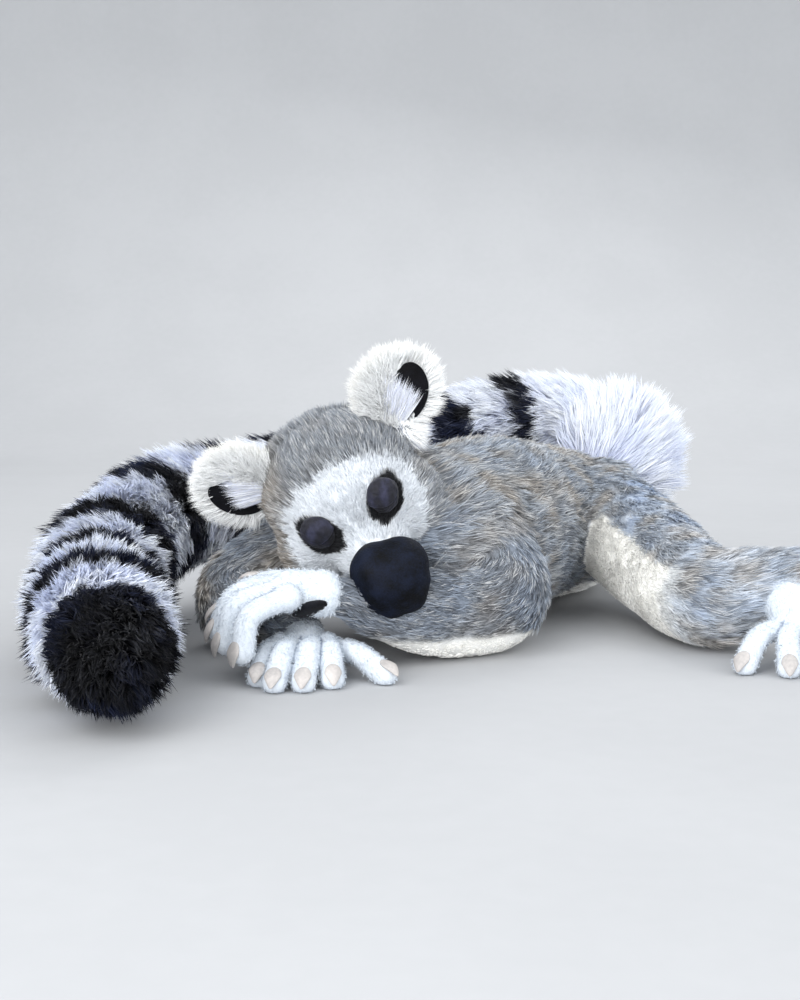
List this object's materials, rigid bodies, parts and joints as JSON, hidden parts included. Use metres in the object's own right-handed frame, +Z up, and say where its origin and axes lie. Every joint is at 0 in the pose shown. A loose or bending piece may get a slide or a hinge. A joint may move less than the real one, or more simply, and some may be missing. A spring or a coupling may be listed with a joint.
{
  "type": "plush toy lemur",
  "caption": "Sleeping plush toy lemur lying on its belly, head turned on folded hands, one hind leg stretched out, ringed tail swept round behind it.",
  "frame": {"origin": "centre of the bounding box's base, on the surface the toy lies on", "axes": "+Z up; -Y is the side the face looks to; +X is the toy's own left, where the hind leg stretches out; the tail lies along -X"},
  "size_m": [0.5538, 0.7092, 0.2053],
  "materials": {
    "ear_left_pile": "cream-white plush pile",
    "ear_lining_left_suede": "black suede cloth",
    "ear_lining_right_suede": "black suede cloth",
    "ear_right_pile": "cream-white plush pile",
    "eyelid_left_suede": "charcoal suede cloth",
    "eyelid_right_suede": "charcoal suede cloth",
    "foot_left_pile": "short white plush pile",
    "foot_right_pile": "short white plush pile",
    "forearm_left_pile": "grey agouti plush pile",
    "forearm_right_pile": "grey agouti plush pile",
    "hand_left_pile": "short white plush pile",
    "hand_right_pile": "short white plush pile",
    "head_pile": "grey plush pile with a white face and black eye rings",
    "muzzle_leather": "matte blue-black imitation leather",
    "nail_foot_left_1_resin": "matte beige resin",
    "nail_foot_left_2_resin": "matte beige resin",
    "nail_foot_left_3_resin": "matte beige resin",
    "nail_foot_left_4_resin": "matte beige resin",
    "nail_foot_left_5_resin": "matte beige resin",
    "nail_foot_right_1_resin": "matte beige resin",
    "nail_foot_right_2_resin": "matte beige resin",
    "nail_foot_right_3_resin": "matte beige resin",
    "nail_foot_right_4_resin": "matte beige resin",
    "nail_foot_right_5_resin": "matte beige resin",
    "nail_hand_left_1_resin": "matte beige resin",
    "nail_hand_left_2_resin": "matte beige resin",
    "nail_hand_left_3_resin": "matte beige resin",
    "nail_hand_left_4_resin": "matte beige resin",
    "nail_hand_left_5_resin": "matte beige resin",
    "nail_hand_right_1_resin": "matte beige resin",
    "nail_hand_right_2_resin": "matte beige resin",
    "nail_hand_right_3_resin": "matte beige resin",
    "nail_hand_right_4_resin": "matte beige resin",
    "nail_hand_right_5_resin": "matte beige resin",
    "neck_pile": "grey agouti plush pile",
    "palm_left_suede": "black suede cloth",
    "palm_right_suede": "black suede cloth",
    "shank_left_pile": "grey agouti plush pile",
    "shank_right_pile": "grey agouti plush pile",
    "sole_left_suede": "black suede cloth",
    "sole_right_suede": "black suede cloth",
    "tail_1_pile": "long plush pile, ringed black and blue-white",
    "tail_2_pile": "long plush pile, ringed black and blue-white",
    "tail_3_pile": "long plush pile, ringed black and blue-white",
    "tail_4_pile": "long plush pile, ringed black and blue-white",
    "tail_5_pile": "long plush pile, ringed black and blue-white",
    "tail_6_pile": "long plush pile, ringed black and blue-white",
    "tail_7_pile": "long plush pile, ringed black and blue-white",
    "tail_8_pile": "long plush pile, ringed black and blue-white",
    "thigh_left_pile": "grey agouti plush pile",
    "thigh_right_pile": "grey agouti plush pile",
    "trunk_pile": "grey agouti plush pile",
    "upper_arm_left_pile": "grey agouti plush pile",
    "upper_arm_right_pile": "grey agouti plush pile"
  },
  "bodies": {
    "root": {"ear_left": "ear_left_pile", "ear_lining_left": "ear_lining_left_suede", "ear_lining_right": "ear_lining_right_suede", "ear_right": "ear_right_pile", "eyelid_left": "eyelid_left_suede", "eyelid_right": "eyelid_right_suede", "foot_left": "foot_left_pile", "foot_right": "foot_right_pile", "forearm_left": "forearm_left_pile", "forearm_right": "forearm_right_pile", "hand_left": "hand_left_pile", "hand_right": "hand_right_pile", "head": "head_pile", "muzzle": "muzzle_leather", "nail_foot_left_1": "nail_foot_left_1_resin", "nail_foot_left_2": "nail_foot_left_2_resin", "nail_foot_left_3": "nail_foot_left_3_resin", "nail_foot_left_4": "nail_foot_left_4_resin", "nail_foot_left_5": "nail_foot_left_5_resin", "nail_foot_right_1": "nail_foot_right_1_resin", "nail_foot_right_2": "nail_foot_right_2_resin", "nail_foot_right_3": "nail_foot_right_3_resin", "nail_foot_right_4": "nail_foot_right_4_resin", "nail_foot_right_5": "nail_foot_right_5_resin", "nail_hand_left_1": "nail_hand_left_1_resin", "nail_hand_left_2": "nail_hand_left_2_resin", "nail_hand_left_3": "nail_hand_left_3_resin", "nail_hand_left_4": "nail_hand_left_4_resin", "nail_hand_left_5": "nail_hand_left_5_resin", "nail_hand_right_1": "nail_hand_right_1_resin", "nail_hand_right_2": "nail_hand_right_2_resin", "nail_hand_right_3": "nail_hand_right_3_resin", "nail_hand_right_4": "nail_hand_right_4_resin", "nail_hand_right_5": "nail_hand_right_5_resin", "neck": "neck_pile", "palm_left": "palm_left_suede", "palm_right": "palm_right_suede", "shank_left": "shank_left_pile", "shank_right": "shank_right_pile", "sole_left": "sole_left_suede", "sole_right": "sole_right_suede", "tail_1": "tail_1_pile", "tail_2": "tail_2_pile", "tail_3": "tail_3_pile", "tail_4": "tail_4_pile", "tail_5": "tail_5_pile", "tail_6": "tail_6_pile", "tail_7": "tail_7_pile", "tail_8": "tail_8_pile", "thigh_left": "thigh_left_pile", "thigh_right": "thigh_right_pile", "trunk": "trunk_pile", "upper_arm_left": "upper_arm_left_pile", "upper_arm_right": "upper_arm_right_pile"}
  },
  "joints": []
}
